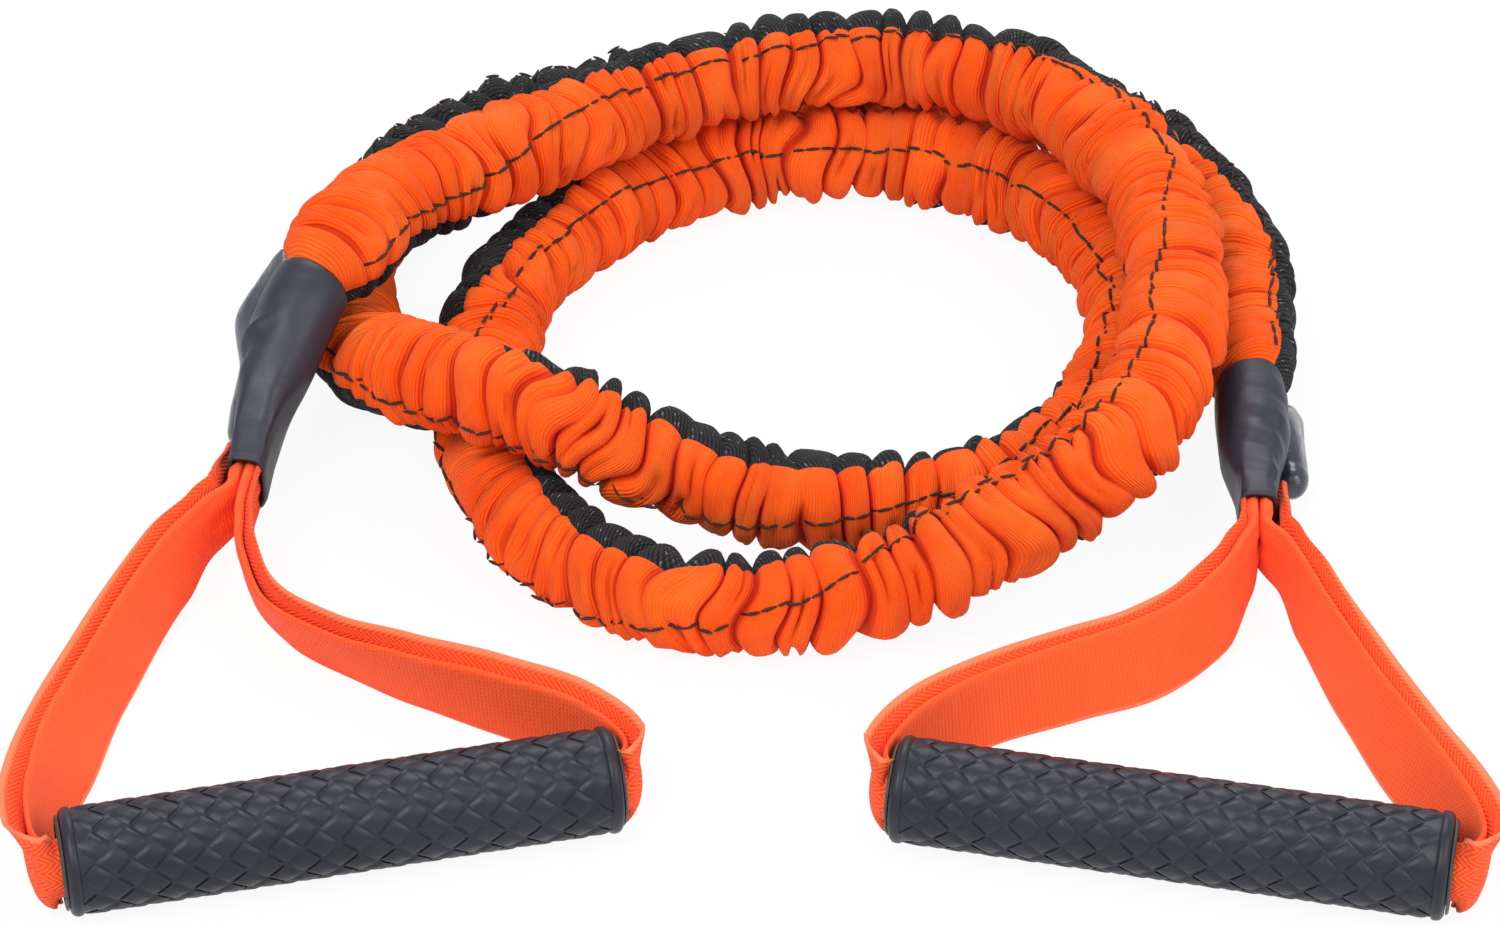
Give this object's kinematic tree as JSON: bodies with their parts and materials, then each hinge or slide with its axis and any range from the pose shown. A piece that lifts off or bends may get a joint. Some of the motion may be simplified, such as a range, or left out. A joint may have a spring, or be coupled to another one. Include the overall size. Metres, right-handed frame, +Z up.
{
  "type": "resistance tube with handles",
  "caption": "Coiled elastic tube in a gathered fabric sleeve, with a triangular webbing handle and a turning grip hinged at each end.",
  "frame": {"origin": "on the floor, midway under the two handles and their end covers", "axes": "+X across the handles from the left one to the right one, +Y from the grips towards the coil, +Z up"},
  "size_m": [0.3657, 0.3847, 0.0671],
  "materials": {
    "sleeve": "gathered woven polyester, orange on one side and black on the other",
    "elastic": "natural latex",
    "cover": "dark slate heat-shrunk sleeve, satin",
    "tail_cover": "grey heat-shrunk sleeve, glossy",
    "stopper": "moulded black",
    "clamp": "crimped steel ring",
    "webbing": "coral orange woven webbing",
    "grip": "charcoal moulded rubber with a woven relief",
    "core": "dark grey moulded plastic"
  },
  "bodies": {
    "tube": {"sleeve": "sleeve", "elastic_tube": "elastic", "left_cover": "cover", "left_clamp": "clamp", "left_strap_root": "webbing", "left_tail_cover": "tail_cover", "left_tube_tail": "elastic", "left_stopper": "stopper", "right_cover": "cover", "right_clamp": "clamp", "right_strap_root": "webbing", "right_tail_cover": "tail_cover", "right_tube_tail": "elastic", "right_stopper": "stopper"},
    "left_handle": {"left_strap_inner": "webbing", "left_strap_outer": "webbing"},
    "left_grip": {"left_grip_cover": "grip", "left_grip_core": "core", "left_bush_a": "core", "left_bush_b": "core"},
    "right_handle": {"right_strap_inner": "webbing", "right_strap_outer": "webbing"},
    "right_grip": {"right_grip_cover": "grip", "right_grip_core": "core", "right_bush_a": "core", "right_bush_b": "core"}
  },
  "joints": [
    {"name": "left_handle_swing", "type": "hinge", "parent": "tube", "child": "left_handle", "pos_m": [-0.1365, 0.0473, 0.0172], "axis": [0, 0, 1], "range_deg": [-45, 8]},
    {"name": "left_grip_spin", "type": "hinge", "parent": "left_handle", "child": "left_grip", "pos_m": [-0.1014, -0.0819, 0.0136], "axis": [0.9736, 0.2284, 0], "continuous": true},
    {"name": "right_handle_swing", "type": "hinge", "parent": "tube", "child": "right_handle", "pos_m": [0.1346, 0.0309, 0.0172], "axis": [0, 0, 1], "range_deg": [-8, 45]},
    {"name": "right_grip_spin", "type": "hinge", "parent": "right_handle", "child": "right_grip", "pos_m": [0.1036, -0.0844, 0.0136], "axis": [0.9772, -0.2122, 0], "continuous": true}
  ]
}
